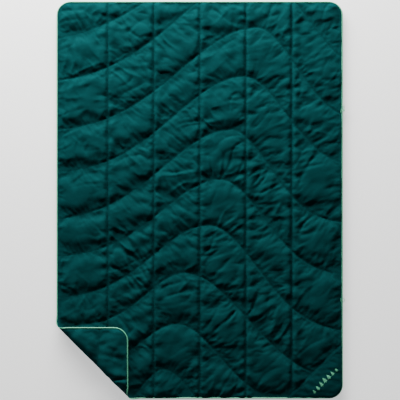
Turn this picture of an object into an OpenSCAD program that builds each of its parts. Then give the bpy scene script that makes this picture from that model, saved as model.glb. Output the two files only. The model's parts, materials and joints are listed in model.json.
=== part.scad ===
// Quilted camp blanket, laid out flat with one corner turned over.
// Origin at the middle of the underside, +X across the blanket, +Y along its length, +Z up.
// Units are millimetres.

/* [Blanket] */
// Width over the piping
blanket_w = 1320; // [1300:10:1380]
// Length over the piping
blanket_l = 1830; // [1790:10:1900]
// Radius of the rounded corners
corner_r = 65; // [40:5:90]
// Thickness at the crown of a puff
loft = 36; // [28:1:40]

/* [Quilting] */
// Distance between the straight column seams
column_pitch = 212; // [200:1:215]
// Number of straight column seams
column_count = 5; // [5]
// Half the width of the flat channel that a seam pulls down
channel = 6; // [4:0.5:8]
// Thickness of the face and back fabric, as modelled
fabric = 1; // [0.8:0.1:1.5]
// Diameter of the quilting thread, as modelled
thread = 0.8; // [0.6:0.1:1]
// Thickness of a fill block: a domed puff's mean thickness
fill_t = 19; // [16:0.5:22]
// Straight steps along one cell's curved edge
cell_steps = 8; // [6:1:12]

/* [Wave seams] */
// Crest x, crest y, then the drop and the spread to the left of the crest and to its right
waves = [
    [355, 1255, 550, 620, 300, 220],
    [270, 1045, 515, 515, 495, 310],
    [260, 795, 485, 490, 445, 260],
    [205, 570, 455, 455, 425, 270],
    [140, 325, 425, 430, 435, 260],
    [95, 95, 360, 380, 445, 285],
    [40, -115, 340, 355, 495, 320],
    [-70, -335, 245, 250, 520, 405],
    [-105, -570, 215, 240, 370, 275],
    [-170, -780, 200, 140, 520, 285]
];

/* [Piping] */
// Outer diameter of the piping round the edge
piping_d = 6; // [5:0.5:8]
// Diameter of the filler cord inside the piping
filler_d = 3.4; // [2.5:0.1:4]
// Room between the filler cord and the piping's cover, on the diameter
filler_room = 0.2; // [0.1:0.05:0.4]

/* [Turned-over corner] */
// Length of each side of the folded corner
fold_leg = 333; // [320:1:345]
// Clearance between the folded corner and the blanket under it
fold_gap = 1; // [0.8:0.1:2]

/* [Corner patch] */
// Length of each straight side of the triangular patch
patch_leg = 258; // [240:1:275]
// Thickness of the padded patch
patch_t = 7; // [4:0.5:9]
// Length of the row of embroidered pine trees
mark_l = 166; // [140:1:180]
// Height of the tallest embroidered tree
mark_h = 30; // [24:1:34]
// Distance from the patch's diagonal to the treetops
mark_inset = 46; // [30:1:50]
// Number of embroidered pine trees
tree_count = 7; // [3:2:7]
// How much shorter each tree is than its inner neighbour, as a share of the tallest
tree_taper = 0.1; // [0:0.02:0.16]

/* [Edge fittings] */
// Where the cape clip's eye sits along the right edge
clip_y = 411; // [380:1:440]
// Length of the cape clip
clip_l = 28; // [26:1:32]
// Width of the cape clip
clip_w = 8; // [7.5:0.5:9]
// Thickness of the cape clip
clip_t = 4; // [3.5:0.5:5]
// Width of the clip's walls round the hook's slot
clip_wall = 2; // [1.6:0.2:2.2]
// Length and width of the shank between the clip's eye and its hook
shank = 4; // [3:0.5:5]
// Width of the hook's mouth
mouth_w = 3; // [2.5:0.5:4]
// Diameter of the cord that the clip swings on
tab_d = 3; // [2.6:0.1:3.2]
// Running clearance between the cord and the clip's eye
tab_clearance = 0.3; // [0.3:0.05:0.4]
// Where the cape loop sits along the right edge
loop_y = -461; // [-500:1:-420]
// Width of the cape loop along the edge
loop_w = 18; // [16:1:22]
// Diameter of the cape loop's cord
loop_d = 3; // [2.6:0.1:3.4]
// Straight part of the loop between the edge and its bend
loop_stem = 0.5; // [0.5:0.5:2]
// Width of the dense stitching that anchors each fitting
tack_w = 2; // [1.5:0.5:3]

/* [Colours] */
// Face fabric
face_colour = "#07575c";
// Back fabric
back_colour = "#0b6066";
// Piping, patch embroidery and fittings
mint_colour = "#7cc9a0";
// Fill
fill_colour = "#e8ebe6";
// Quilting thread
thread_colour = "#04474c";

/* [Hidden] */
$fn = 48;
half_w = blanket_w / 2;
half_l = blanket_l / 2;
mid_z = loft / 2;
seam_top = mid_z + fabric;
seam_bottom = mid_z - fabric;
edge_gap = 0.3;
edge_seam = 8;
shell_margin = piping_d + edge_gap;
puff_margin = piping_d + edge_seam;
thread_margin = shell_margin + 1;
fill_clearance = 0.4;
far = 2 * blanket_l;
cut_low = -loft;
cut_high = 3 * loft;
fold_z = loft + fold_gap / 2;
fold_sum = fold_leg - half_w - half_l;
bend_r = fold_z;
fold_end_gap = 1.3 * bend_r;
bend_steps = 6;
strip_step = 24;
patch_seam_gap = 2;
tack_inset = 4;
fitting_x = half_w + 0.1;
clip_x = half_w + 0.5 + clip_w / 2;
hook_slot = clip_w - 2 * clip_wall;
fold_mid = [-half_w + fold_leg / 2, -half_l + fold_leg / 2];
bands = len(waves) + 1;
flat_above = [0, half_l + far, 0, 1, 0, 1];
flat_below = [0, -half_l - far, 0, 1, 0, 1];
edges = concat([flat_above], waves, [flat_below]);
columns = [for (i = [0 : column_count - 1]) (i - (column_count - 1) / 2) * column_pitch];
column_edges = concat([-half_w], columns, [half_w]);

// The driving curve of one wave seam, and its slope
function side(w, x) = x < w[0] ? [w[2], w[3]] : [w[4], w[5]];
function bell(w, x) = exp(-pow((x - w[0]) / side(w, x)[1], 2));
function wave_y(w, x) = w[1] - side(w, x)[0] * (1 - bell(w, x));
function slope(w, x) = -2 * side(w, x)[0] * (x - w[0]) / pow(side(w, x)[1], 2) * bell(w, x);

// A point that stands off a wave seam by a distance measured square to it
function beside(w, x, d) = [x, wave_y(w, x) + d * sqrt(1 + pow(slope(w, x), 2))];

// The sampled outline of one cell, held back from its four seams by a gap
function cell_points(upper, lower, x0, x1, gap) =
    let (step = (x1 - x0 - 2 * gap) / cell_steps)
    concat(
        [for (i = [0 : cell_steps]) beside(lower, x0 + gap + i * step, gap)],
        [for (i = [cell_steps : -1 : 0]) beside(upper, x0 + gap + i * step, -gap)]
    );

// A rounded rectangle held back from the blanket's outer edge by a margin
function arc_points(cx, cy, r, a0) = [for (a = [0 : 10 : 90]) [cx + r * cos(a0 + a), cy + r * sin(a0 + a)]];
function outline_points(margin) =
    let (x = half_w - corner_r, y = half_l - corner_r, r = corner_r - margin)
    concat(
        arc_points(x, y, r, 0), arc_points(-x, y, r, 90),
        arc_points(-x, -y, r, 180), arc_points(x, -y, r, 270)
    );

module slab(points, z0, z1) {
    translate([0, 0, z0]) linear_extrude(z1 - z0) polygon(points);
}

// Everything on the blanket's side of the fold line, held back from it by an inset
module blanket_side(inset) {
    s = fold_sum + inset * sqrt(2);
    slab([[s + far, -far], [far, far], [-far, s + far]], cut_low, cut_high);
}

// Everything on the turned corner's side of the fold line, before it is turned
module corner_side(inset) {
    s = fold_sum - inset * sqrt(2);
    slab([[s + far, -far], [-far, s + far], [-far, -far]], cut_low, cut_high);
}

// Everything on the patch's side of its diagonal seam; a positive inset grows it
module patch_side(inset) {
    d = half_w + half_l - patch_leg - inset * sqrt(2);
    slab([[d - far, -far], [far, far - d], [far, -far]], cut_low, cut_high);
}

// Where one cell is drawn at all: it must reach inside the blanket's length
function in_reach(upper, lower, x0, x1) =
    min(wave_y(lower, x0), wave_y(lower, x1)) < half_l - puff_margin
    && max([for (x = [x0 : (x1 - x0) / cell_steps : x1 + 1]) wave_y(upper, x)]) > -half_l + puff_margin;

module band_cells(band, gap, z0, z1) {
    for (c = [0 : len(column_edges) - 2]) {
        x0 = column_edges[c];
        x1 = column_edges[c + 1];
        upper = edges[band];
        lower = edges[band + 1];
        if (in_reach(upper, lower, x0, x1)) slab(cell_points(upper, lower, x0, x1, gap), z0, z1);
    }
}

// The puffs of every cell as plain blocks, trimmed to the piping and the patch
module puffs(gap, trim, z0, z1) {
    difference() {
        intersection() {
            union() for (band = [0 : bands - 1]) band_cells(band, gap, z0, z1);
            slab(outline_points(puff_margin + trim), z0 - 1, z1 + 1);
        }
        patch_side(channel + trim);
    }
}

// One layer of fabric: a flat sheet along the seams, raised into a hollow puff over each cell
module face_layer() {
    difference() {
        union() {
            slab(outline_points(shell_margin), mid_z, seam_top);
            puffs(channel, 0, mid_z, loft);
        }
        puffs(channel + fabric, fabric, mid_z - 1, loft - fabric);
    }
}

module back_layer() {
    difference() {
        union() {
            slab(outline_points(shell_margin), seam_bottom, mid_z);
            puffs(channel, 0, 0, mid_z);
        }
        puffs(channel + fabric, fabric, fabric, mid_z + 1);
    }
}

// Turn a piece of the flat corner over its fold line and lay it on the blanket
module turned() {
    translate([fold_mid[0], fold_mid[1], fold_z])
        rotate(a = 180, v = [1, -1, 0])
            translate([-fold_mid[0], -fold_mid[1], -fold_z]) children();
}

module face_shell() {
    color(face_colour) intersection() {
        face_layer();
        blanket_side(bend_r);
    }
}

module back_shell() {
    color(back_colour) intersection() {
        back_layer();
        blanket_side(bend_r);
    }
}

module face_shell_corner() {
    color(face_colour) turned() intersection() {
        face_layer();
        corner_side(bend_r);
    }
}

module back_shell_corner() {
    color(back_colour) turned() intersection() {
        back_layer();
        corner_side(bend_r);
    }
}

// Fill inside the puffs of one band between two wave seams
module band_fill(band) {
    inset = fabric + fill_clearance;
    difference() {
        intersection() {
            band_cells(band, channel + inset, mid_z - fill_t / 2, mid_z + fill_t / 2);
            slab(outline_points(puff_margin + inset), 0, loft);
        }
        patch_side(channel + inset);
    }
}

module fill_band(band) {
    color(fill_colour) intersection() {
        band_fill(band);
        blanket_side(bend_r + fill_clearance);
    }
}

module fill_corner() {
    color(fill_colour) turned() intersection() {
        union() for (band = [bands - 4 : bands - 1]) band_fill(band);
        corner_side(bend_r + fill_clearance);
    }
}

// The rounded edge of the fold: a half tube of back fabric, with squeezed fill inside it
module fold_tube(r_out, r_in, reach, margin) {
    intersection() {
        translate([fold_mid[0], fold_mid[1], fold_z]) rotate([0, 0, -45])
            translate([-reach / 2, bend_r, 0]) rotate([0, 90, 0]) difference() {
                cylinder(r = r_out, h = reach);
                translate([0, 0, -1]) cylinder(r = r_in, h = reach + 2);
            }
        slab(outline_points(margin), cut_low, cut_high);
        corner_side(-bend_r + fill_clearance);
    }
}

module fold_shell() {
    color(back_colour) fold_tube(bend_r, bend_r - fabric, fold_leg * sqrt(2), shell_margin);
}

module fold_fill() {
    reach = fold_leg * sqrt(2) - 2 * fold_end_gap;
    color(fill_colour) fold_tube(bend_r - fabric - fill_clearance, mid_z / 2, reach, puff_margin);
}

// A seam's thread as it lies on the face and on the back, in the bottom of its channel
module thread_lines(points) {
    slab(points, seam_top, seam_top + thread);
    slab(points, seam_bottom - thread, seam_bottom);
}

function wave_strip(w, half_width, x0, x1) =
    let (n = ceil((x1 - x0) / strip_step), step = (x1 - x0) / n)
    concat(
        [for (i = [0 : n]) beside(w, x0 + i * step, -half_width)],
        [for (i = [n : -1 : 0]) beside(w, x0 + i * step, half_width)]
    );

module wave_thread(k) {
    difference() {
        intersection() {
            thread_lines(wave_strip(waves[k], thread / 2, -half_w + 1, half_w - 1));
            slab(outline_points(thread_margin), 0, loft);
        }
        patch_side(channel);
    }
}

// A column's thread stops short at every wave seam, which passes over it
module column_thread(x) {
    half = thread / 2;
    difference() {
        intersection() {
            thread_lines([[x - half, -half_l], [x + half, -half_l], [x + half, half_l], [x - half, half_l]]);
            slab(outline_points(thread_margin), 0, loft);
        }
        for (w = waves) slab(wave_strip(w, 2 * thread, x - 3 * thread, x + 3 * thread), 0, loft);
        patch_side(channel);
    }
}

module wave_seam(k) {
    color(thread_colour) intersection() {
        wave_thread(k);
        blanket_side(bend_r + 1);
    }
}

module column_seam(i) {
    color(thread_colour) intersection() {
        column_thread(columns[i]);
        blanket_side(bend_r + 1);
    }
}

module wave_seam_corner() {
    color(thread_colour) turned() intersection() {
        wave_thread(len(waves) - 2);
        corner_side(bend_r + 1);
    }
}

module column_seam_corner() {
    color(thread_colour) turned() intersection() {
        column_thread(columns[0]);
        corner_side(bend_r + 1);
    }
}

// A round rod that runs along the blanket's edge, at mid thickness
module edge_rod(d, hole_d) {
    x = half_w - corner_r;
    y = half_l - corner_r;
    r = corner_r - piping_d / 2;
    translate([0, 0, mid_z]) for (sx = [-1, 1]) {
        translate([sx * (half_w - piping_d / 2), y, 0]) rotate([90, 0, 0]) ring_bar(d, hole_d, 2 * y);
        translate([-x, sx * (half_l - piping_d / 2), 0]) rotate([0, 90, 0]) ring_bar(d, hole_d, 2 * x);
        for (sy = [-1, 1])
            translate([sx * x, sy * y, 0]) rotate([0, 0, sx > 0 ? (sy > 0 ? 0 : 270) : (sy > 0 ? 90 : 180)])
                rotate_extrude(angle = 90) translate([r, 0]) difference() {
                    circle(d = d);
                    if (hole_d > 0) circle(d = hole_d);
                }
    }
}

module ring_bar(d, hole_d, length) {
    difference() {
        cylinder(d = d, h = length);
        if (hole_d > 0) translate([0, 0, -1]) cylinder(d = hole_d, h = length + 2);
    }
}

module piping_cover() {
    color(mint_colour) intersection() {
        edge_rod(piping_d, filler_d + filler_room);
        blanket_side(bend_r);
    }
}

module piping_cord() {
    color(fill_colour) intersection() {
        edge_rod(filler_d, 0);
        blanket_side(bend_r);
    }
}

module piping_cover_corner() {
    color(mint_colour) turned() intersection() {
        edge_rod(piping_d, filler_d + filler_room);
        corner_side(bend_r);
    }
}

module piping_cord_corner() {
    color(fill_colour) turned() intersection() {
        edge_rod(filler_d, 0);
        corner_side(bend_r);
    }
}

// Piping where it turns over the fold: it climbs half a turn while it runs on along the fold
function bend_point(a) =
    let (out = bend_r - (fold_z - mid_z) * sin(a), along = bend_r * cos(a))
    [out, along, fold_z - (fold_z - mid_z) * cos(a)];

module piping_bend_end() {
    for (i = [0 : bend_steps - 1]) hull() for (j = [i, i + 1])
        translate(bend_point(j * 180 / bend_steps)) sphere(d = piping_d, $fn = 16);
}

module piping_bend() {
    half_run = (fold_leg - piping_d) / sqrt(2);
    color(mint_colour) intersection() {
        translate([fold_mid[0], fold_mid[1], 0]) rotate([0, 0, 45])
            for (m = [0, 1]) mirror([0, m, 0]) translate([0, half_run, 0]) piping_bend_end();
        corner_side(-bend_r + fill_clearance);
    }
}

// Triangular padded patch at the lower right corner
module corner_patch() {
    color(face_colour) intersection() {
        slab(outline_points(thread_margin), seam_top, seam_top + patch_t);
        patch_side(0);
    }
}

// Line of stitching beside the patch's diagonal edge
module patch_seam() {
    color(thread_colour) intersection() {
        slab(outline_points(thread_margin), seam_top, seam_top + thread);
        patch_side(patch_seam_gap + thread);
        blanket_beyond_patch(patch_seam_gap);
    }
}

module blanket_beyond_patch(inset) {
    d = half_w + half_l - patch_leg - inset * sqrt(2);
    slab([[d - far, -far], [far, far - d], [-far, far]], cut_low, cut_high);
}

// One pine tree: two leafy tiers on a short trunk, standing on the x axis
module pine(h) {
    w = 0.36 * h;
    polygon([
        [-0.05 * h, 0], [0.05 * h, 0], [0.05 * h, 0.2 * h], [w, 0.2 * h], [0.16 * h, 0.5 * h],
        [0.28 * h, 0.5 * h], [0, h], [-0.28 * h, 0.5 * h], [-0.16 * h, 0.5 * h], [-w, 0.2 * h],
        [-0.05 * h, 0.2 * h]
    ]);
}

// Row of pine trees, tallest in the middle, along the patch's diagonal
module embroidered_mark() {
    pitch = mark_l / tree_count;
    color(mint_colour)
        translate([half_w - patch_leg / 2, -half_l + patch_leg / 2, seam_top + patch_t]) rotate([0, 0, 45])
            translate([0, -mark_inset - mark_h, 0]) linear_extrude(thread) for (i = [0 : tree_count - 1]) {
                place = i - (tree_count - 1) / 2;
                translate([place * pitch, 0]) pine(mark_h * (1 - tree_taper * abs(place)));
            }
}

// Cape clip: an eye at one end and an open hook at the other, joined by a short shank
module cape_clip() {
    hook_y = clip_y + clip_l - clip_w;
    slot_y = clip_y + clip_w / 2 + shank;
    color(mint_colour) translate([clip_x, 0, mid_z - clip_t / 2]) difference() {
        union() {
            translate([0, clip_y, 0]) cylinder(d = clip_w, h = clip_t);
            translate([0, hook_y, 0]) cylinder(d = clip_w, h = clip_t);
            translate([-clip_w / 2, slot_y - clip_wall, 0]) cube([clip_w, hook_y - slot_y + clip_wall, clip_t]);
            translate([-shank / 2, clip_y, 0]) cube([shank, slot_y - clip_y, clip_t]);
        }
        translate([0, clip_y, -1]) cylinder(d = tab_d + 2 * tab_clearance, h = clip_t + 2);
        translate([-hook_slot / 2, slot_y, -1]) cube([hook_slot, hook_y - slot_y, clip_t + 2]);
        translate([0, hook_y, -1]) cylinder(d = hook_slot, h = clip_t + 2);
        translate([0, slot_y, -1]) cube([clip_w, mouth_w, clip_t + 2]);
    }
}

// Cord that holds the clip: out of the edge, down through the clip's eye and back in
module clip_tab() {
    arm = clip_t / 2 + tab_clearance + tab_d / 2;
    color(mint_colour) translate([0, clip_y, mid_z]) {
        translate([clip_x, 0, -arm]) cylinder(d = tab_d, h = 2 * arm);
        for (s = [-1, 1]) {
            translate([clip_x, 0, s * arm]) sphere(d = tab_d);
            translate([fitting_x, 0, s * arm]) rotate([0, 90, 0]) cylinder(d = tab_d, h = clip_x - fitting_x);
        }
    }
}

// Cord loop that the clip hooks into when the blanket is worn as a cape
module cape_loop() {
    bend = (loop_w - loop_d) / 2;
    color(mint_colour) translate([fitting_x, loop_y, mid_z]) {
        for (s = [-1, 1]) translate([0, s * bend, 0]) rotate([0, 90, 0]) cylinder(d = loop_d, h = loop_stem);
        translate([loop_stem, 0, 0]) rotate([0, 0, -90]) rotate_extrude(angle = 180) translate([bend, 0]) circle(d = loop_d);
    }
}

// Dense stitching that anchors both fittings just inside the piping
module bartacks() {
    color(mint_colour) for (y = [clip_y, loop_y])
        translate([half_w - shell_margin - tack_inset, y - loop_w / 2, seam_top]) cube([tack_w, loop_w, thread]);
}

face_shell();
back_shell();
fill_band(0);  // fill_band_01
fill_band(1);  // fill_band_02
fill_band(2);  // fill_band_03
fill_band(3);  // fill_band_04
fill_band(4);  // fill_band_05
fill_band(5);  // fill_band_06
fill_band(6);  // fill_band_07
fill_band(7);  // fill_band_08
fill_band(8);  // fill_band_09
fill_band(9);  // fill_band_10
fill_band(10);  // fill_band_11
wave_seam(0);  // wave_seam_01
wave_seam(1);  // wave_seam_02
wave_seam(2);  // wave_seam_03
wave_seam(3);  // wave_seam_04
wave_seam(4);  // wave_seam_05
wave_seam(5);  // wave_seam_06
wave_seam(6);  // wave_seam_07
wave_seam(7);  // wave_seam_08
wave_seam(8);  // wave_seam_09
wave_seam(9);  // wave_seam_10
column_seam(0);  // column_seam_1
column_seam(1);  // column_seam_2
column_seam(2);  // column_seam_3
column_seam(3);  // column_seam_4
column_seam(4);  // column_seam_5
piping_cover();
piping_cord();
corner_patch();
patch_seam();
embroidered_mark();
fold_shell();
fold_fill();
piping_bend();
clip_tab();
cape_loop();
bartacks();
face_shell_corner();
back_shell_corner();
fill_corner();
wave_seam_corner();
column_seam_corner();
piping_cover_corner();
piping_cord_corner();
cape_clip();
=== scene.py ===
import json
import math

import bmesh
import bpy
import numpy as np
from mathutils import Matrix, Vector
from mathutils.bvhtree import BVHTree
from mathutils.geometry import delaunay_2d_cdt


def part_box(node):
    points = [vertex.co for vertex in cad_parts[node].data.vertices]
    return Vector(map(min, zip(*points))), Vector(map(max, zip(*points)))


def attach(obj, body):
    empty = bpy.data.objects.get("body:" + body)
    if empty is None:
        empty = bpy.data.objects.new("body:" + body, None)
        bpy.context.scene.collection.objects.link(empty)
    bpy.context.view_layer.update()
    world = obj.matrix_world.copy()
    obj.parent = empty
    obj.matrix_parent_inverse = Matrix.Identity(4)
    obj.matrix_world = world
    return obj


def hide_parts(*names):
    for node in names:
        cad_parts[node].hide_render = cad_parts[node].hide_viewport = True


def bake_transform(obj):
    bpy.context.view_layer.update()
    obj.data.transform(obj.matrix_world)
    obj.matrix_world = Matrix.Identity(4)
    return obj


# Quilted camp blanket seen from straight above, with one corner turned over.
# Metres, in the CAD's own frame: +X across, +Y along, +Z up.

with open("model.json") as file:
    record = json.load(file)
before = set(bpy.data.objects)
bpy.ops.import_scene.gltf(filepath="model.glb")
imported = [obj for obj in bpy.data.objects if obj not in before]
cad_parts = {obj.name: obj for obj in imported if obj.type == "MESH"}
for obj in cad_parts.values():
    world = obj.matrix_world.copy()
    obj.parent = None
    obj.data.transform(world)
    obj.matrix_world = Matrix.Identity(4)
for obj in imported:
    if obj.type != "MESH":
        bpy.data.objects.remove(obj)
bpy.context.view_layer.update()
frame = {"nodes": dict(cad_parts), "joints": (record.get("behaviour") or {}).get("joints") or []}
MM = 0.001

# ---------------------------------------------------------------- sizes read from the frame
PIPING = [np.array(c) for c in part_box("piping_cover")]
HALF_W = PIPING[1][0]
HALF_L = PIPING[1][1]
MID_Z = (PIPING[0][2] + PIPING[1][2]) / 2
PIPING_R = (PIPING[1][2] - PIPING[0][2]) / 2
FOLD = next(j for j in frame["joints"] if j["name"] == "corner_fold")
FOLD_AT = np.array(FOLD["pos_m"])
FOLD_Z = FOLD_AT[2]
INWARD = np.array([1.0, 1.0]) / math.sqrt(2)
ALONG = np.array([-1.0, 1.0]) / math.sqrt(2)

# ---------------------------------------------------------------- choices for the visual model
CORNER_R = 65 * MM          # rounded corners, as in the CAD outline
BEND = FOLD_Z               # radius of the fold's outside
CREASE_IN = (8 * MM, 4.5 * MM)      # how far the face and the back stop short of the fold line
CREASE_OPEN = (1 * MM, 3 * MM)      # half the height over which each passes to the turned corner
FACE_RISE = FOLD_Z - 2.5 * MM - MID_Z   # highest a face puff may stand over the seams
BACK_RISE = MID_Z - 0.4 * MM            # deepest a back puff may reach below them
FACE_STEP = 6.0 * MM        # mesh spacing on the face
BACK_STEP = 9.0 * MM        # mesh spacing on the back
EXTRA_CLOTH = (0.03, 0.10)  # extra cloth, as a share, in the middle of a puff and at its seams
GATHER_WIDTH = 65 * MM      # how far from a seam the extra cloth reaches
PRESSURE = 16               # of the fill under the cloth
SIM_FRAMES = 26
DOME_SHARE = 0.62           # how much of the simulated height is kept
WAVE_SHOULDER = (0.8 * MM, 6 * MM)  # how high and how far the cloth climbs from a wave seam
COLUMN_ROLL = (12 * MM, 18 * MM)    # height of the roll beside a column seam, and its distance
WAVE_PUCKER = 3.3 * MM      # creases square to the wave seams
COLUMN_PUCKER = 3.8 * MM    # creases square to the column seams
LONG_FOLD = 8.0 * MM        # longer folds across the cells
SAG = 6.0 * MM              # broad unevenness of the fill
EDGE_REACH = 30 * MM        # how far inside the piping the cloth starts to spread freely
# Longer folds: their angle to +X in degrees, spacing and length in mm, and seed, for cells between
# seams that rise to the right, fall, or run level, and a few that lie across all cells.
RISING_FOLDS = (-52, 52, 150, 21)
FALLING_FOLDS = (44, 52, 150, 51)
LEVEL_FOLDS = (84, 56, 140, 81)
STRAY_FOLDS = (20, 60, 170, 111)
SIDE_SHIFT = 4000           # the face reads the noise this many mm one way, the back as far the other way
STITCH_PITCH = 4.2 * MM
STITCH_LENGTH = 3.3 * MM
STITCH_R = 0.42 * MM
THREAD_SPACING = 0.7 * MM   # of the nylon's weave
RIPSTOP_SPACING = 6 * MM    # of the thicker threads of its ripstop grid
VIEW_WIDTH = 1.843          # width of the camera's view at the height of the seams
VIEW_X = 1.2 * MM           # the camera's place across the blanket
FLOOR_SIZE = 60
FAR = 9.0                   # stands for a seam that is nowhere near
RNG = np.random.default_rng(7)


# ---------------------------------------------------------------- camera, light and floor
def add_camera():
    camera = bpy.data.objects.new("camera", bpy.data.cameras.new("camera"))
    camera.data.lens = 100
    camera.data.sensor_width = 36
    distance = VIEW_WIDTH * camera.data.lens / camera.data.sensor_width
    camera.location = (VIEW_X, 0, distance + MID_Z)
    camera.data.clip_end = 50
    bpy.context.scene.collection.objects.link(camera)
    bpy.context.scene.camera = camera


def add_area(name, location, size, power, colour):
    """A rectangular lamp that points at the middle of the blanket."""
    data = bpy.data.lights.new(name, "AREA")
    data.shape = "RECTANGLE"
    data.size, data.size_y = size
    data.energy = power
    data.color = colour
    lamp = bpy.data.objects.new(name, data)
    lamp.location = location
    lamp.rotation_euler = (-Vector(location)).to_track_quat("-Z", "Y").to_euler()
    bpy.context.scene.collection.objects.link(lamp)


def add_light_and_floor():
    """A low, wide lamp beyond the top edge, a faint one from the front, and a pale floor."""
    add_area("key", location=(-0.8, 3.45, 1.08), size=(4.0, 1.6), power=850, colour=(1, 0.99, 0.97))
    add_area("fill", location=(0.3, -2.4, 2.4), size=(3.0, 2.0), power=10, colour=(0.9, 0.96, 1))
    world = bpy.data.worlds.new("world")
    world.use_nodes = True
    background = world.node_tree.nodes["Background"]
    background.inputs["Color"].default_value = (0.9, 0.95, 1, 1)
    background.inputs["Strength"].default_value = 0.035
    bpy.context.scene.world = world
    bpy.ops.mesh.primitive_plane_add(size=FLOOR_SIZE, location=(0, 0, -0.5 * MM))
    floor = bpy.context.object
    floor.name = "floor"
    paper, _, shader = new_material("floor_paper")
    shader.inputs["Base Color"].default_value = (0.86, 0.87, 0.87, 1)
    shader.inputs["Roughness"].default_value = 0.85
    shader.inputs["Emission Color"].default_value = (1, 1, 1, 1)
    shader.inputs["Emission Strength"].default_value = 0.75
    floor.data.materials.append(paper)


# ---------------------------------------------------------------- materials
def new_material(name):
    material = bpy.data.materials.new(name)
    material.use_nodes = True
    shader = material.node_tree.nodes["Principled BSDF"]
    return material, material.node_tree, shader


def node(tree, kind, **values):
    made = tree.nodes.new(kind)
    for key, value in values.items():
        if hasattr(made, key):
            setattr(made, key, value)
        else:
            made.inputs[key.replace("_", " ")].default_value = value
    return made


def math_node(tree, operation, a, b=None):
    made = tree.nodes.new("ShaderNodeMath")
    made.operation = operation
    for socket, value in zip(made.inputs, (a, b)):
        if value is None:
            continue
        if isinstance(value, (int, float)):
            socket.default_value = value
        else:
            tree.links.new(value, socket)
    return made.outputs[0]


def position(tree):
    return tree.nodes.new("ShaderNodeNewGeometry").outputs["Position"]


def texture(tree, kind, **values):
    """The strength of a texture laid out in the object's own space."""
    made = node(tree, kind, **values)
    tree.links.new(position(tree), made.inputs["Vector"])
    return made.outputs["Fac"]


def mix_colours(tree, shader, share, dark, light):
    """A base colour between two, by the strength of a texture."""
    shade = tree.nodes.new("ShaderNodeMix")
    shade.data_type = "RGBA"
    shade.inputs["A"].default_value = (*dark, 1)
    shade.inputs["B"].default_value = (*light, 1)
    tree.links.new(share, shade.inputs["Factor"])
    tree.links.new(shade.outputs["Result"], shader.inputs["Base Color"])


SLANTED = dict(bands_direction="DIAGONAL")      # the bands of a wave texture


def scaled(colour, share):
    """A darker or lighter version of a colour."""
    return [min(1, share * c) for c in colour]


def add_bump(tree, shader, height, strength, distance):
    bump = node(tree, "ShaderNodeBump", Strength=strength, Distance=distance)
    tree.links.new(height, bump.inputs["Height"])
    tree.links.new(bump.outputs["Normal"], shader.inputs["Normal"])
    return bump


def nylon_material(name, dark, light, ripstop):
    """Woven nylon: fine threads, a ripstop grid, faint blotches, and a soft sheen."""
    material, tree, shader = new_material(name)
    place = position(tree)
    split = tree.nodes.new("ShaderNodeSeparateXYZ")
    tree.links.new(place, split.inputs[0])
    thread = 2 * math.pi / THREAD_SPACING
    warp = math_node(tree, "SINE", math_node(tree, "MULTIPLY", split.outputs[0], thread))
    weft = math_node(tree, "SINE", math_node(tree, "MULTIPLY", split.outputs[1], thread))
    weave = math_node(tree, "MULTIPLY", math_node(tree, "ADD", warp, weft), 0.5)
    height = weave
    if ripstop:
        grid = 2 * math.pi / RIPSTOP_SPACING
        across = math_node(tree, "COSINE", math_node(tree, "MULTIPLY", split.outputs[0], grid))
        along = math_node(tree, "COSINE", math_node(tree, "MULTIPLY", split.outputs[1], grid))
        lines = math_node(tree, "MAXIMUM", across, along)
        ridge = math_node(tree, "POWER", math_node(tree, "MAXIMUM", lines, 0.0), 14.0)
        height = math_node(tree, "ADD", weave, math_node(tree, "MULTIPLY", ridge, 1.6))
    blotch = texture(tree, "ShaderNodeTexNoise", Scale=9.0, Detail=5.0, Roughness=0.6)
    crinkle = texture(tree, "ShaderNodeTexNoise", Scale=55.0, Detail=4.0, Roughness=0.6)
    mix_colours(tree, shader, blotch, dark, light)
    rough = math_node(tree, "ADD", math_node(tree, "MULTIPLY", blotch, 0.16), 0.42)
    tree.links.new(rough, shader.inputs["Roughness"])
    fold = add_bump(tree, shader, crinkle, 0.16, 4 * MM)
    cloth = add_bump(tree, shader, height, 0.35, 0.12 * MM)
    tree.links.new(fold.outputs["Normal"], cloth.inputs["Normal"])
    shader.inputs["Sheen Weight"].default_value = 0.05
    shader.inputs["Sheen Roughness"].default_value = 0.3
    shader.inputs["Sheen Tint"].default_value = (0.08, 0.62, 0.68, 1)
    shader.inputs["Specular IOR Level"].default_value = 0
    return material


def thread_material(name, colour, roughness):
    """Twisted thread: fine slanted ridges, with painted shade in their grooves and a painted highlight on
    their crests.
    """
    material, tree, shader = new_material(name)
    twist_and_painted_shade = texture(tree, "ShaderNodeTexWave", Scale=900.0, Distortion=1.5, Detail=1.0, **SLANTED)
    # The colour follows the twist's ridges: painted shade in the grooves and painted highlight on the crests.
    mix_colours(tree, shader, twist_and_painted_shade, scaled(colour, 0.72), scaled(colour, 1.15))
    add_bump(tree, shader, twist_and_painted_shade, 0.5, 0.2 * MM)
    shader.inputs["Roughness"].default_value = roughness
    shader.inputs["Specular IOR Level"].default_value = 0.02
    return material


def tape_material(name, colour):
    """Bias tape: a fine diagonal weave with a soft matt face."""
    material, tree, shader = new_material(name)
    weave = texture(tree, "ShaderNodeTexWave", Scale=420.0, Distortion=0.6, Detail=2.0, **SLANTED)
    wear = texture(tree, "ShaderNodeTexNoise", Scale=60.0, Detail=4.0)
    mix_colours(tree, shader, wear, scaled(colour, 0.8), scaled(colour, 1.12))
    add_bump(tree, shader, weave, 0.4, 0.3 * MM)
    shader.inputs["Roughness"].default_value = 0.62
    shader.inputs["Sheen Weight"].default_value = 0.1
    shader.inputs["Sheen Tint"].default_value = (*colour, 1)
    return material


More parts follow.
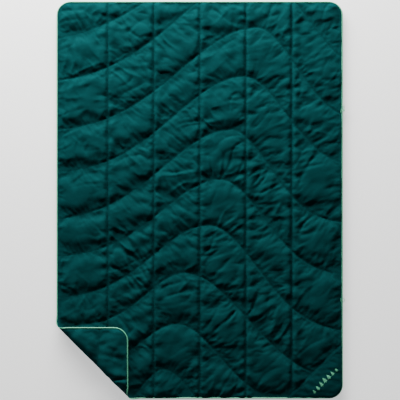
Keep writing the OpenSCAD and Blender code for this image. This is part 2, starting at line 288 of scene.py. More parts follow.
def moulded_material(name, colour):
    """Moulded plastic: a fine satin grain."""
    material, tree, shader = new_material(name)
    grain = texture(tree, "ShaderNodeTexNoise", Scale=1400.0, Detail=3.0)
    cloud = texture(tree, "ShaderNodeTexNoise", Scale=120.0, Detail=3.0)
    mix_colours(tree, shader, cloud, scaled(colour, 0.9), scaled(colour, 1.08))
    add_bump(tree, shader, grain, 0.15, 0.1 * MM)
    rough = math_node(tree, "ADD", math_node(tree, "MULTIPLY", cloud, 0.15), 0.34)
    tree.links.new(rough, shader.inputs["Roughness"])
    return material


# ---------------------------------------------------------------- the sewing pattern, from the frame
def get_points(thing):
    points = np.empty(3 * len(thing.data.vertices))
    thing.data.vertices.foreach_get("co", points)
    return points.reshape(-1, 3)


def set_points(thing, points):
    thing.data.vertices.foreach_set("co", np.asarray(points, np.float32).ravel())
    thing.data.update()


def cad_points(name):
    """A CAD node's vertices at rest, in metres."""
    return get_points(frame["nodes"][name])


def surface_of(points, thing):
    """Something to drop points on: the thing's faces, with its vertices at these points."""
    return BVHTree.FromPolygons([Vector(v) for v in points], [tuple(p.vertices) for p in thing.data.polygons])


def make_smooth(thing):
    thing.data.polygons.foreach_set("use_smooth", [True] * len(thing.data.polygons))


# The patch's diagonal runs where x - y has one value, read off the CAD patch's corners.
patch_points = cad_points("corner_patch")
PATCH_LINE = float((patch_points[:, 0] - patch_points[:, 1]).min())
PATCH_MIDDLE = np.array([(HALF_W + PATCH_LINE - HALF_L) / 2, (HALF_W - PATCH_LINE - HALF_L) / 2])


def unturn(points):
    """Corner points laid flat again: half a turn back about the fold."""
    flat = points.copy()
    u = (points[:, :2] - FOLD_AT[:2]) @ INWARD
    flat[:, :2] -= 2 * u[:, None] * INWARD
    flat[:, 2] = 2 * FOLD_Z - points[:, 2]
    return flat


def centre_line(points):
    """The mean y at each x along a thread strip, sorted by x."""
    keys = np.round(points[:, 0] / (0.5 * MM)).astype(int)
    xs = np.array([points[keys == k, 0].mean() for k in np.unique(keys)])
    ys = np.array([points[keys == k, 1].mean() for k in np.unique(keys)])
    keep = np.ones(len(xs), bool)
    keep[1:] = np.diff(xs) > 2 * MM
    return xs[keep], ys[keep]


def smooth_curve(xs, ys, step):
    """A cubic Hermite curve through the points, run on to the piping at both ends."""
    slope = np.gradient(ys, xs)
    ends = (-HALF_W + PIPING_R, HALF_W - PIPING_R)
    fine = np.arange(ends[0], ends[1], 0.5 * MM)
    i = np.clip(np.searchsorted(xs, fine) - 1, 0, len(xs) - 2)
    h = xs[i + 1] - xs[i]
    t = (fine - xs[i]) / h
    y = (
        (2 * t**3 - 3 * t**2 + 1) * ys[i] + (t**3 - 2 * t**2 + t) * h * slope[i]
        + (3 * t**2 - 2 * t**3) * ys[i + 1] + (t**3 - t**2) * h * slope[i + 1]
    )
    low, high = fine < xs[0], fine > xs[-1]
    y[low] = ys[0] + slope[0] * (fine[low] - xs[0])
    y[high] = ys[-1] + slope[-1] * (fine[high] - xs[-1])
    return resample(np.column_stack([fine, y]), step)


def resample(path, step):
    """The same path with points an even distance apart."""
    run = np.concatenate([[0], np.cumsum(np.linalg.norm(np.diff(path, axis=0), axis=1))])
    count = max(2, int(round(run[-1] / step)) + 1)
    even = np.linspace(0, run[-1], count)
    return np.column_stack([np.interp(even, run, path[:, k]) for k in range(path.shape[1])])


def patch_side(points):
    """How far points lie on the patch's side of its diagonal, in metres."""
    return (points[:, 0] - points[:, 1] - PATCH_LINE) / math.sqrt(2)


def edge_distance(points):
    """How far points lie inside the rounded outline; negative outside."""
    inner = np.array([HALF_W - CORNER_R, HALF_L - CORNER_R])
    q = np.abs(points[:, :2]) - inner
    outside = np.linalg.norm(np.maximum(q, 0), axis=1)
    inside = np.minimum(np.maximum(q[:, 0], q[:, 1]), 0)
    return CORNER_R - outside - inside


def inside_runs(path, keep):
    """The stretches of a path where keep is true."""
    runs, start = [], None
    for i, good in enumerate(keep):
        if good and start is None:
            start = i
        if start is not None and (not good or i == len(keep) - 1):
            stop = i + 1 if good else i
            if stop - start > 2:
                runs.append(path[start:stop])
            start = None
    return runs


def seam_names(kind):
    return sorted(n for n in frame["nodes"] if n.startswith(kind) and n[-1].isdigit())


def wave_paths(step):
    """The wave seams, each with the run that the turned corner holds."""
    paths = []
    turned = unturn(cad_points("wave_seam_corner"))
    for name in seam_names("wave_seam_"):
        points = cad_points(name)
        crossing = np.median(turned[:, 1]) - points[np.argmin(points[:, 0]), 1]
        if abs(crossing) < 60 * MM and points[:, 0].min() > turned[:, 0].max() - 5 * MM:
            points = np.vstack([points, turned])
        paths.append(smooth_curve(*centre_line(points), step))
    return paths


def column_paths(step):
    """The straight column seams, from edge to edge."""
    paths = []
    for name in seam_names("column_seam_"):
        low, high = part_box(name)
        x = (low[0] + high[0]) / 2
        count = int(2 * HALF_L / step)
        paths.append(np.column_stack([np.full(count + 1, x), np.linspace(-HALF_L, HALF_L, count + 1)]))
    return paths


# ---------------------------------------------------------------- the flat mesh of one cloth layer
class Pattern:
    """The seams of the blanket as paths in the flat, at one point spacing."""

    def __init__(self, step):
        self.step = step
        self.waves = wave_paths(step)
        self.columns = column_paths(step)
        self.margin = PIPING_R + 0.6 * MM

    def wave_gap(self, points):
        """Distance to the nearest wave seam, measured square to it."""
        nearest = np.full(len(points), FAR)
        for path in self.waves:
            slope = np.interp(points[:, 0], path[:, 0], np.gradient(path[:, 1], path[:, 0]))
            rise = np.abs(points[:, 1] - np.interp(points[:, 0], path[:, 0], path[:, 1]))
            nearest = np.minimum(nearest, rise / np.sqrt(1 + slope**2))
        return nearest

    def wave_run(self, points):
        """Distance along the nearest wave seam, from its left end."""
        nearest, run = np.full(len(points), FAR), np.zeros(len(points))
        for path in self.waves:
            length = np.concatenate([[0], np.cumsum(np.linalg.norm(np.diff(path, axis=0), axis=1))])
            rise = points[:, 1] - np.interp(points[:, 0], path[:, 0], path[:, 1])
            slope = np.interp(points[:, 0], path[:, 0], np.gradient(path[:, 1], path[:, 0]))
            foot = points[:, 0] + rise * slope / (1 + slope**2)
            closer = np.abs(rise) < nearest
            nearest = np.where(closer, np.abs(rise), nearest)
            run = np.where(closer, np.interp(foot, path[:, 0], length) + path[0, 1], run)
        return run

    def wave_slope(self, points):
        """The slope of the wave seams round about, averaged smoothly from one seam to the next."""
        total, weight = np.zeros(len(points)), np.zeros(len(points))
        for path in self.waves:
            rise = points[:, 1] - np.interp(points[:, 0], path[:, 0], path[:, 1])
            near = np.exp(-((rise / 0.12) ** 2)) + 1e-9
            total += near * np.interp(points[:, 0], path[:, 0], np.gradient(path[:, 1], path[:, 0]))
            weight += near
        return total / weight

    def column_gap(self, points):
        """Distance to the nearest column seam."""
        return np.min([np.abs(points[:, 0] - path[0, 0]) for path in self.columns], axis=0)

    def border(self):
        """Points round the rounded outline, held in from the edge by the margin."""
        return outline_path(self.margin, self.step)[:-1]

    def diagonal(self):
        """Points along the patch's seam."""
        ends = np.array([[PATCH_LINE - HALF_L, -HALF_L], [HALF_W, HALF_W - PATCH_LINE]])
        line = resample(ends, self.step)
        return line[edge_distance(line) > self.margin + 0.6 * self.step]

    def quilted(self, points, room):
        """Which points lie in the quilted part, at least some steps from the edge and the patch."""
        inside = edge_distance(points) > self.margin + room * self.step
        return inside & (patch_side(points) < -room * self.step)

    def points(self):
        """Every point of the flat mesh: the seams, a row on each side of them, and the rest."""
        fixed = [self.border(), self.diagonal()]
        fixed += [path[self.quilted(path, 0.6)] for path in self.waves]
        for path in self.columns:
            fixed.append(path[self.quilted(path, 0.6) & (self.wave_gap(path) > 0.45 * self.step)])
        beside = [self.beside(path) for path in self.waves + self.columns]
        fixed = np.vstack(fixed + beside)
        rows = np.arange(-HALF_L, HALF_L, self.step * math.sqrt(3) / 2)
        across = np.arange(-HALF_W, HALF_W, self.step)
        grid = np.array([(x + self.step / 2 * (j % 2), y) for j, y in enumerate(rows) for x in across])
        grid += RNG.uniform(-0.12, 0.12, grid.shape) * self.step
        room = 0.62 * self.step
        clear = (edge_distance(grid) > self.margin + room) & (np.abs(patch_side(grid)) > room)
        room = 1.45 * self.step
        off_seams = (self.wave_gap(grid) > room) & (self.column_gap(grid) > room)
        clear &= (patch_side(grid) >= 0) | off_seams
        return np.vstack([fixed, grid[clear]])

    def beside(self, path):
        """A row of points on each side of a seam, so that the cloth's edges follow it."""
        middle = (path[1:] + path[:-1]) / 2
        lead = np.diff(path, axis=0)
        lead /= np.linalg.norm(lead, axis=1)[:, None]
        normal = np.column_stack([-lead[:, 1], lead[:, 0]])
        rows = np.vstack([middle + 0.86 * self.step * normal, middle - 0.86 * self.step * normal])
        clear = np.minimum(self.wave_gap(rows), self.column_gap(rows)) > 0.7 * self.step
        return rows[clear & self.quilted(rows, 0.7)]

    def seam_distance(self, points):
        """Distance to the nearest line of stitching of any kind."""
        gap = np.minimum(self.wave_gap(points), self.column_gap(points))
        gap = np.where(patch_side(points) < 0, gap, FAR)
        gap = np.minimum(gap, np.abs(patch_side(points)))
        return np.minimum(gap, edge_distance(points) - self.margin)


def flat_layer(name, pattern):
    """A flat mesh of the whole blanket with vertices along every seam, at z 0."""
    points = pattern.points()
    made = delaunay_2d_cdt([Vector(p) for p in points], [], [], 0, 1e-6)
    mesh = bpy.data.meshes.new(name)
    mesh.from_pydata([(p.x, p.y, 0) for p in made[0]], [], made[2])
    layer = bpy.data.objects.new(name, mesh)
    bpy.context.scene.collection.objects.link(layer)
    return layer


def blow_up(layer, gap, pinned):
    """Cloth simulation: the seams hold still, and the cloth between them swells up and puckers."""
    start = get_points(layer)
    group = layer.vertex_groups.new(name="seams")
    group.add([int(i) for i in np.flatnonzero(pinned)], 1.0, "ADD")
    loose = layer.vertex_groups.new(name="gathered")
    gathered = 1 - gap / GATHER_WIDTH + 0.8 * lattice_noise(start[:, 0] / 0.08, start[:, 1] / 0.08, 5)
    for i, share in enumerate(np.clip(gathered, 0, 1)):
        loose.add([i], float(share), "ADD")
    cloth = layer.modifiers.new("cloth", "CLOTH")
    settings = cloth.settings
    settings.quality = 4
    settings.mass = 0.12
    settings.air_damping = 1.2
    settings.tension_stiffness = 12
    settings.compression_stiffness = 12
    settings.shear_stiffness = 4
    settings.bending_stiffness = 4
    settings.vertex_group_mass = "seams"
    settings.vertex_group_shrink = "gathered"
    settings.shrink_min = -EXTRA_CLOTH[0]
    settings.shrink_max = -EXTRA_CLOTH[1]
    settings.use_pressure = True
    settings.uniform_pressure_force = PRESSURE
    settings.effector_weights.gravity = 0
    cloth.collision_settings.use_collision = False
    cloth.point_cache.frame_start = 1
    cloth.point_cache.frame_end = SIM_FRAMES
    scene = bpy.context.scene
    for tick in range(1, SIM_FRAMES + 1):
        scene.frame_set(tick)
    swollen = layer.evaluated_get(bpy.context.evaluated_depsgraph_get())
    points = np.empty(3 * len(start))
    swollen.data.vertices.foreach_get("co", points)
    layer.modifiers.remove(cloth)
    layer.vertex_groups.clear()
    scene.frame_set(1)
    return points.reshape(-1, 3)


def soft_limit(height, most):
    """Heights up to the limit stay nearly as they are; taller ones level off under it."""
    lifted = np.maximum(height, 0.3 * MM)
    return lifted / (1 + (lifted / most) ** 6) ** (1 / 6)


def lattice_noise(x, y, seed):
    """Smooth gradient noise from about -1 to 1, on a unit lattice."""
    angles = np.random.default_rng(seed).uniform(0, 2 * math.pi, 4096)
    x0, y0 = np.floor(x).astype(int), np.floor(y).astype(int)
    fx, fy = x - x0, y - y0
    total = np.zeros(len(x))
    for dx in (0, 1):
        for dy in (0, 1):
            angle = angles[((x0 + dx) * 73 + (y0 + dy) * 1031) % 4096]
            reach_x, reach_y = fx - dx, fy - dy
            fade = (1 - np.abs(reach_x)) ** 2 * (1 + 2 * np.abs(reach_x))
            fade *= (1 - np.abs(reach_y)) ** 2 * (1 + 2 * np.abs(reach_y))
            total += fade * (reach_x * np.cos(angle) + reach_y * np.sin(angle))
    return 1.6 * total


def fold_family(x, y, turn, across, along, seed):
    """Soft ridges and valleys, about 0 on average, whose length runs at an angle in degrees to +X."""
    c, s = math.cos(math.radians(turn)), math.sin(math.radians(turn))
    bend = 16 * lattice_noise(x / 95, y / 95, seed + 9)
    u, v = (c * x + s * y) / along, (c * y - s * x + bend) / across
    total = np.zeros(len(x))
    for sign, shift in ((1, 0), (-1, 31)):
        line = np.clip(1 - 2.6 * np.abs(lattice_noise(u + shift, v, seed + shift)), 0, 1)
        there = np.clip(lattice_noise(u / 1.4 + shift, v / 2.5, seed + 3) + 0.45, 0, 1)
        total += sign * line**1.5 * there
    return total


def creases(pattern, points, side):
    """Creases of one cloth: puckers at the seams, folds across the cells, and the fill's unevenness.
    The lengths written here are in mm, and the result is in metres."""
    x, y = points[:, 0] / MM, points[:, 1] / MM + SIDE_SHIFT * side
    waves, columns = pattern.wave_gap(points) / MM, pattern.column_gap(points) / MM
    run = pattern.wave_run(points) / MM + SIDE_SHIFT * side
    wave_pucker = lattice_noise(run / 25, waves / 100, 11) * np.clip(1 - waves / 45, 0, 1) ** 1.5
    column_pucker = lattice_noise(x / 90, y / 25, 12) * np.exp(-columns / 34)
    slope = pattern.wave_slope(points)
    rising, falling = np.clip(slope / 0.5, 0, 1), np.clip(-slope / 0.5, 0, 1)
    folds = rising * fold_family(x, y, *RISING_FOLDS) + falling * fold_family(x, y, *FALLING_FOLDS)
    folds += (1 - rising - falling) * fold_family(x, y, *LEVEL_FOLDS)
    folds += 0.6 * fold_family(x, y, *STRAY_FOLDS)
    sag = 0.9 * lattice_noise(x / 105, y / 85, 41) + 0.7 * lattice_noise(x / 58, y / 52, 42)
    away = 1 - np.exp(-np.minimum(waves, columns) / 16)
    lively = np.clip(0.75 + 0.9 * lattice_noise(x / 230, y / 210, 141), 0.3, 1.3)
    broad = LONG_FOLD * lively * folds + SAG * sag
    return WAVE_PUCKER * wave_pucker + COLUMN_PUCKER * column_pucker + away * broad


def puff_height(pattern, points, raw, side):
    """Height over the seams: the swollen dome, a steep shoulder beside each seam, and creases."""
    gap = np.maximum(pattern.seam_distance(points), 0)
    climb = WAVE_SHOULDER[0] * (1 - np.exp(-gap / WAVE_SHOULDER[1]))
    across = pattern.column_gap(points) / COLUMN_ROLL[1]
    roll = COLUMN_ROLL[0] * across * np.exp((1 - across**2) / 2)
    roll *= 1 - np.exp(-pattern.wave_gap(points) / (30 * MM))
    x, y = points[:, 0] / MM, points[:, 1] / MM
    roll *= np.clip(1 + 0.9 * lattice_noise(x / 75, y / 42, 151), 0.4, 1.5)
    from_piping = edge_distance(points) - pattern.margin
    softened = 1 - np.exp(-gap / (7 * MM))
    softened *= 1 - 0.6 * np.exp(-np.maximum(from_piping, 0) / (10 * MM))
    inside = 1 - np.exp(-np.abs(np.minimum(from_piping, np.abs(patch_side(points)))) / (12 * MM))
    return DOME_SHARE * raw + climb + inside * roll + softened * creases(pattern, points, side)


def quilt_layer(name, step, side, rise):
    """One layer of the quilt; side is 1 for the face and -1 for the back.
    Returns the piece, its pattern, and the surface as it was before the corner was turned."""
    pattern = Pattern(step)
    layer = flat_layer(name, pattern)
    points = get_points(layer)
    gap = pattern.seam_distance(points)
    puffed = blow_up(layer, gap, gap < 0.12 * step)
    # Near the piping the cloth rises but doesn't spread, so that the piping shows all round.
    spread = np.clip((edge_distance(points) - pattern.margin) / EDGE_REACH, 0, 1)[:, None]
    puffed[:, :2] = points[:, :2] + spread * (puffed[:, :2] - points[:, :2])
    height = puff_height(pattern, points, puffed[:, 2], side)
    under_patch = patch_side(points) > 0
    height = np.where(under_patch, np.minimum(height, 1.2 * MM), height)
    puffed[:, 2] = MID_Z + side * soft_limit(height, rise)
    if side < 0:
        layer.data.flip_normals()
    flat_surface = surface_of(puffed, layer)
    set_points(layer, turn_over(puffed))
    make_smooth(layer)
    return layer, pattern, flat_surface


def drop_on(surface, flat, lift, side=1):
    """Points in plan laid on a surface, a little above it; side -1 lays them on from below."""
    laid = []
    for x, y in flat:
        hit = surface.ray_cast(Vector((x, y, MID_Z + side)), Vector((0, 0, -side)))[0]
        laid.append((x, y, (hit.z if hit else MID_Z) + side * lift))
    return np.array(laid)


def turn_over(points):
    """The flat blanket with its corner rolled over the fold line and laid back on top."""
    turned = np.array(points, float)
    u = (turned[:, :2] - FOLD_AT[:2]) @ INWARD
    reach = FOLD_Z - turned[:, 2]
    angle = math.pi * np.clip((BEND - u) / (2 * BEND), 0, 1)
    stop = np.interp(reach, (0, FOLD_Z), CREASE_IN)
    bent = BEND - (BEND - stop) * np.sin(angle)
    bending = np.abs(u) < BEND
    beyond = u <= -BEND
    new_u = np.where(bending, bent, np.where(beyond, -u, u))
    rise = -reach * np.cos(angle)
    parting = np.interp(reach, (FOLD_Z - MID_Z, FOLD_Z), CREASE_OPEN)
    rise = np.where(bending & (np.abs(rise) < parting), np.where(rise < 0, -parting, parting), rise)
    new_z = np.where(bending | beyond, FOLD_Z + rise, turned[:, 2])
    turned[:, :2] += (new_u - u)[:, None] * INWARD
    turned[:, 2] = new_z
    return turned


# ---------------------------------------------------------------- tubes, stitches and small pieces
def tube_mesh(path, radius, sides, closed=False):
    """(vertices, faces) of a tube along a path."""
    path = np.asarray(path, float)
    if closed:
        tangent = np.roll(path, -1, axis=0) - np.roll(path, 1, axis=0)
    else:
        tangent = np.gradient(path, axis=0)
    tangent /= np.linalg.norm(tangent, axis=1)[:, None]
    up = np.array([0, 0, 1.0])
    if abs(tangent[:, 2]).max() > 0.95:
        up = np.array([0, 1.0, 0])
    side = np.cross(tangent, up)
    side /= np.linalg.norm(side, axis=1)[:, None]
    top = np.cross(side, tangent)
    around = np.linspace(0, 2 * math.pi, sides, endpoint=False)[None, :, None]
    rings = path[:, None, :] + radius * (np.cos(around) * side[:, None, :] + np.sin(around) * top[:, None, :])
    count = len(path)
    faces = []
    for i in range(count if closed else count - 1):
        j = (i + 1) % count
        for k in range(sides):
            m = (k + 1) % sides
            faces.append((i * sides + k, i * sides + m, j * sides + m, j * sides + k))
    if not closed:
        faces.append(tuple(range(sides - 1, -1, -1)))
        faces.append(tuple((count - 1) * sides + k for k in range(sides)))
    return rings.reshape(-1, 3), faces


def tube_mesh_free(path, radius, sides):
    """As tube_mesh for a path in an XZ plane, which may run straight up."""
    swapped = path[:, [0, 2, 1]]
    vertices, faces = tube_mesh(swapped, radius, sides)
    return vertices[:, [0, 2, 1]], [tuple(reversed(f)) for f in faces]


def make_piece(name, vertices, faces, material):
    mesh = bpy.data.meshes.new(name)
    mesh.from_pydata([tuple(v) for v in vertices], [], faces)
    mesh.materials.append(material)
    mesh.update()
    piece = bpy.data.objects.new(name, mesh)
    make_smooth(piece)
    bpy.context.scene.collection.objects.link(piece)
    return piece


# One stitch: a short three-sided grain with pointed ends. Each corner's place along it, across it and up.
GRAIN = np.array([(-0.5, 0, 0), (-0.28, 1, 0), (-0.28, -1, 0), (-0.28, 0, 1),
                  (0.28, 1, 0), (0.28, -1, 0), (0.28, 0, 1), (0.5, 0, 0)])
GRAIN_FACES = [
    (0, 1, 3), (0, 3, 2), (0, 2, 1),
    (1, 4, 6, 3), (3, 6, 5, 2), (2, 5, 4, 1),
    (7, 6, 4), (7, 5, 6), (7, 4, 5),
]


def grains(spots, lead, length, radius, side):
    """One short grain of thread at each spot, pointing along its lead."""
    lead = lead / np.linalg.norm(lead, axis=1)[:, None]
    normal = np.cross(np.array([0, 0, 1.0]), lead)
    normal /= np.linalg.norm(normal, axis=1)[:, None]
    up = side * np.cross(lead, normal)
    vertices = (
        spots[:, None, :]
        + length * GRAIN[None, :, 0, None] * lead[:, None, :]
        + radius * GRAIN[None, :, 1, None] * normal[:, None, :]
        + radius * GRAIN[None, :, 2, None] * up[:, None, :]
    )
    faces = [tuple(8 * i + v for v in f) for i in range(len(spots)) for f in GRAIN_FACES]
    return vertices.reshape(-1, 3), faces


def stitch_run(path, surface, side, lift=0.35 * MM):
    """Stitches along a path in plan, laid on a flat surface."""
    spots = resample(path, STITCH_PITCH)
    laid = drop_on(surface, spots, lift, side)
    return grains(laid, np.gradient(laid, axis=0), STITCH_LENGTH, STITCH_R, side)


def join(parts):
    """(vertices, faces) of several meshes as one."""
    vertices, faces, base = [], [], 0
    for v, f in parts:
        vertices.append(v)
        faces += [tuple(base + k for k in face) for face in f]
        base += len(v)
    return np.vstack(vertices), faces


def seam_stitches(name, pattern, surface, side, material):
    """All quilting stitches of one side of the blanket."""
    runs = []
    for path in pattern.waves + pattern.columns:
        keep = (edge_distance(path) > 2.2 * PIPING_R) & (patch_side(path) < -2 * MM)
        for run in inside_runs(path, keep):
            runs.append(stitch_run(run, surface, side))
    vertices, faces = join(runs)
    return make_piece(name, turn_over(vertices), faces, material)


def outline_path(inset, step):
    """The blanket's rounded outline held in by an inset, as an open path that ends where it starts."""
    r = CORNER_R - inset
    x, y = HALF_W - CORNER_R, HALF_L - CORNER_R
    path = []
    for cx, cy, start in ((x, y, 0), (-x, y, 90), (-x, -y, 180), (x, -y, 270)):
        for a in np.radians(np.linspace(start, start + 90, 25)):
            path.append((cx + r * math.cos(a), cy + r * math.sin(a)))
    path.append(path[0])
    return resample(np.array(path), step)


def edge_stitches(name, surface, side, material):
    """The line of stitching that holds the piping, just inside it."""
    vertices, faces = stitch_run(outline_path(2 * PIPING_R + 1.2 * MM, 2 * MM), surface, side)
    return make_piece(name, turn_over(vertices), faces, material)


def add_piping(material):
    """Piping round the whole edge, over the fold and back: one closed tube."""
    flat = outline_path(PIPING_R, 5 * MM)[:-1]
    route = np.column_stack([flat, np.full(len(flat), MID_Z)])
    vertices, faces = tube_mesh(route, PIPING_R * 0.98, 14, closed=True)
    piece = make_piece("piping", turn_over(vertices), faces, material)
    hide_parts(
        "piping_cover", "piping_cord", "piping_cover_corner", "piping_cord_corner", "piping_bend")
    return piece


def along_patch(points):
    """Coordinates on the patch: along its diagonal from the middle, and out over the diagonal."""
    offset = np.asarray(points)[:, :2] - PATCH_MIDDLE
    return offset @ INWARD, offset @ ALONG


def from_patch(run, rise):
    """Places in plan from coordinates on the patch."""
    return PATCH_MIDDLE + np.outer(run, INWARD) + np.outer(rise, ALONG)


def add_patch(material):
    """The triangular padded patch with a turned hem along its diagonal."""
    step = 4.5 * MM
    margin = PIPING_R + 0.8 * MM
    border = outline_path(margin, step)
    border = border[patch_side(border) > 0.4 * step]
    leg = HALF_W - margin - (PATCH_LINE - HALF_L + margin)
    run = np.arange(-leg / math.sqrt(2), leg / math.sqrt(2), step)
    diagonal = from_patch(run, np.zeros(len(run)))
    diagonal = diagonal[edge_distance(diagonal) > margin]
    low = np.array(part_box("corner_patch")[0][:2])
    grid = np.array([(low[0] + i * step + step / 2 * (j % 2), low[1] + j * step * 0.866)
                     for j in range(70) for i in range(62)])
    grid = grid[(edge_distance(grid) > margin + 0.6 * step) & (patch_side(grid) > 0.6 * step)]
    points = np.vstack([border, diagonal, grid])
    made = delaunay_2d_cdt([Vector(p) for p in points], [], [], 0, 1e-6)
    patch = make_piece("corner_patch_skin", [(p.x, p.y, 0) for p in made[0]], made[2], material)
    start = get_points(patch)
    gap = np.minimum(edge_distance(start) - margin, patch_side(start))
    raw = 18 * MM * (1 - np.exp(-np.maximum(gap, 0) / (30 * MM)))
    raised = blow_up(patch, np.maximum(gap, 0), gap < 0.12 * step)
    start[:, :2], raw = raised[:, :2], raised[:, 2]
    wrinkle = 1.6 * MM * lattice_noise(start[:, 0] / 0.05, start[:, 1] / 0.02, 31) * np.clip(gap / 0.02, 0, 1)
    shoulder = 3.5 * MM * (1 - np.exp(-np.maximum(gap, 0) / (5 * MM)))
    start[:, 2] = MID_Z + 1.6 * MM + soft_limit(0.35 * raw + shoulder + wrinkle, 10 * MM)
    set_points(patch, start)
    surface = surface_of(start, patch)
    hem_line = resample(diagonal[np.argsort(along_patch(diagonal)[0])], 3 * MM)
    route = np.column_stack([hem_line, np.full(len(hem_line), MID_Z + 1.5 * MM)])
    vertices, faces = tube_mesh(route, 1.7 * MM, 10)
    hem = make_piece("patch_hem", vertices, faces, material)
    return patch, hem, surface


def add_patch_stitches(surface, material):
    """Two lines of stitching that hold the patch's hem."""
    half = (HALF_W - PATCH_LINE + HALF_L) / math.sqrt(2) - 16 * MM
    runs = []
    for inset in (4 * MM, 10 * MM):
        line = from_patch(np.array([inset - half, half - inset]), np.array([-inset, -inset]))
        runs.append(stitch_run(line, surface, 1))
    return make_piece("patch_stitches", *join(runs), material)


def add_embroidery(surface, material):
    """The row of pine trees in satin stitch: close threads laid across each tree's outline."""
    trees = cad_points("embroidered_mark")
    outline = surface_of(trees, frame["nodes"]["embroidered_mark"])
    runs, rises = along_patch(trees)
    pitch, sample = 0.75 * MM, 0.4 * MM
    threads = []
    for k, rise in enumerate(np.arange(rises.min() + pitch / 2, rises.max(), pitch)):
        scan = np.arange(runs.min(), runs.max(), sample)
        plan = from_patch(scan, np.full(len(scan), rise))
        hit = [outline.ray_cast(Vector((x, y, 1.0)), Vector((0, 0, -1)))[0] is not None for x, y in plan]
        for stretch in inside_runs(plan, hit):
            ends = drop_on(surface, resample(stretch, 2 * MM), 0.25 * MM + 0.1 * MM * (k % 2))
            threads.append(tube_mesh(ends, STITCH_R, 6))
    return make_piece("pine_embroidery", *join(threads), material)


def add_clip(material):
    """The moulded clip: the CAD's shape with its edges rounded."""
    source = frame["nodes"]["cape_clip"]
    clip = bpy.data.objects.new("clip_moulding", source.data.copy())
    bpy.context.scene.collection.objects.link(clip)
    clip.data.materials.clear()
    clip.data.materials.append(material)
    build = bmesh.new()
    build.from_mesh(clip.data)
    bmesh.ops.remove_doubles(build, verts=build.verts, dist=0.01 * MM)
    bmesh.ops.dissolve_limit(build, angle_limit=math.radians(1), verts=build.verts, edges=build.edges)
    sharp = [e for e in build.edges if len(e.link_faces) == 2 and e.calc_face_angle(0) > math.radians(50)]
    rounding = dict(offset=0.55 * MM, segments=3, profile=0.6)
    bmesh.ops.bevel(build, geom=sharp, affect="EDGES", clamp_overlap=True, **rounding)
    build.to_mesh(clip.data)
    build.free()
    make_smooth(clip)
    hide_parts("cape_clip")
    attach(clip, "clip")


def add_clip_cord(material):
    """The cord that the clip swings on: out, down through the eye, and back into the edge."""
    low, high = [np.array(c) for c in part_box("clip_tab")]
    radius = (high[1] - low[1]) / 2
    y, eye_x = (low[1] + high[1]) / 2, high[0] - radius
    top, bottom = high[2] - radius, low[2] + radius
    inside = HALF_W - 1.5 * PIPING_R
    turn = 1.2 * MM
    arc = np.radians(np.linspace(0, 90, 7))
    upper = [(eye_x - turn + turn * math.sin(a), y, top - turn + turn * math.cos(a)) for a in arc]
    lower = [(p[0], y, top + bottom - p[2]) for p in reversed(upper)]
    run_in = [(inside, y, MID_Z + 0.4 * (top - MID_Z)), (HALF_W + 0.8 * MM, y, top - 0.2 * MM)]
    run_out = [(p[0], y, 2 * MID_Z - p[2]) for p in reversed(run_in)]
    path = resample(np.array(run_in + upper + lower + run_out), 0.6 * MM)
    cord = make_piece("clip_cord", *tube_mesh_free(path, radius * 0.96, 12), material)
    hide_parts("clip_tab")
    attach(cord, "root")


def add_loop_cord(material):
    """The cord loop that stands out of the edge lower down."""
    low, high = [np.array(c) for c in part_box("cape_loop")]
    radius = (high[2] - low[2]) / 2
    y, bend = (low[1] + high[1]) / 2, (high[1] - low[1]) / 2 - radius
    centre_x = high[0] - radius - bend
    inside = HALF_W - 1.5 * PIPING_R
    arc = np.radians(np.linspace(90, -90, 25))
    path = [(centre_x + bend * math.cos(a), y + bend * math.sin(a), MID_Z) for a in arc]
    path = [(inside, y + bend, MID_Z), *path, (inside, y - bend, MID_Z)]
    path = resample(np.array(path), 0.8 * MM)
    cord = make_piece("loop_cord", *tube_mesh(path, radius * 0.97, 12), material)
    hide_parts("cape_loop")
    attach(cord, "root")


def add_bartacks(surface, material):
    """Dense stitching that anchors both fittings: short threads side by side."""
    low, high = [np.array(c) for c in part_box("bartacks")]
    parts = []
    for name in ("clip_tab", "cape_loop"):
        y = sum(c[1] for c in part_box(name)) / 2
        rows = np.arange(y - 9 * MM, y + 9 * MM, 0.62 * MM)
        plan = np.column_stack([np.full(len(rows), (low[0] + high[0]) / 2), rows])
        laid = drop_on(surface, plan, 0.3 * MM)
        lead = np.tile([1.0, 0.16, 0], (len(rows), 1))
        parts.append(grains(laid, lead, 3.2 * MM, 0.45 * MM, 1))
    tacks = make_piece("bartack_stitches", *join(parts), material)
    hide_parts("bartacks")
    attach(tacks, "root")


def ride_fold(piece):
    """Bakes the piece's placement into its vertices. Its shape, from turn_over, already follows the blanket
    below the fold and the turned corner above it, with no point within the parting."""
    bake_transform(piece)


# ---------------------------------------------------------------- build
bands = [n for n in frame["nodes"] if n.startswith("fill_band_")]
wave_nodes = [n for n in frame["nodes"] if n.startswith("wave_seam_")]
column_nodes = [n for n in frame["nodes"] if n.startswith("column_seam_")]

add_camera()
add_light_and_floor()

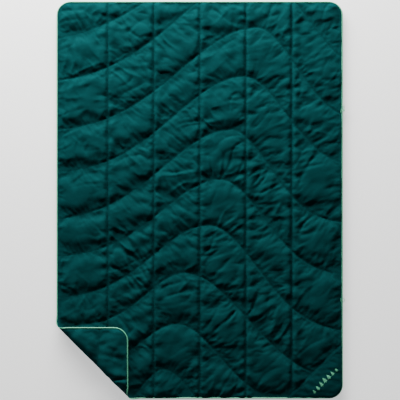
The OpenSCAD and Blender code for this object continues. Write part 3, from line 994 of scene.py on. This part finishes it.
face_cloth = nylon_material("face_nylon", (0.0004, 0.029, 0.0305), (0.0024, 0.038, 0.040), True)
back_cloth = nylon_material("back_taffeta", (0.0005, 0.035, 0.037), (0.0026, 0.045, 0.047), False)
patch_cloth = nylon_material("patch_nylon", (0.0004, 0.028, 0.0295), (0.0022, 0.036, 0.038), True)
quilt_thread = thread_material("quilting_thread", (0.0004, 0.028, 0.030), 0.5)
mint_thread = thread_material("mint_thread", (0.13, 0.47, 0.28), 0.38)
piping_tape = tape_material("piping_tape", (0.075, 0.36, 0.21))
braid = tape_material("fitting_braid", (0.12, 0.44, 0.27))
plastic = moulded_material("clip_plastic", (0.13, 0.48, 0.29))

face, face_pattern, face_surface = quilt_layer("face_skin", FACE_STEP, 1, FACE_RISE)
face.data.materials.append(face_cloth)
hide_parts("face_shell", "face_shell_corner", "fill_corner", "fold_fill", *bands)
ride_fold(face)

back, back_pattern, back_surface = quilt_layer("back_skin", BACK_STEP, -1, BACK_RISE)
back.data.materials.append(back_cloth)
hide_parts("back_shell", "back_shell_corner", "fold_shell")
ride_fold(back)

face_stitches = seam_stitches("face_stitches", face_pattern, face_surface, 1, quilt_thread)
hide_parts(*wave_nodes, *column_nodes)
ride_fold(face_stitches)

back_stitches = seam_stitches("back_stitches", back_pattern, back_surface, -1, quilt_thread)
ride_fold(back_stitches)

edges = (("face_edge_stitches", face_surface, 1), ("back_edge_stitches", back_surface, -1))
for name, surface, side in edges:
    line = edge_stitches(name, surface, side, quilt_thread)
    ride_fold(line)

piping = add_piping(piping_tape)
ride_fold(piping)

patch, hem, patch_surface = add_patch(patch_cloth)
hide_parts("corner_patch")
patch_stitches = add_patch_stitches(patch_surface, quilt_thread)
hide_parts("patch_seam")
embroidery = add_embroidery(patch_surface, mint_thread)
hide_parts("embroidered_mark")
for piece in (patch, hem, patch_stitches, embroidery):
    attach(piece, "root")

add_clip(plastic)
add_clip_cord(braid)
add_loop_cord(braid)
add_bartacks(face_surface, mint_thread)
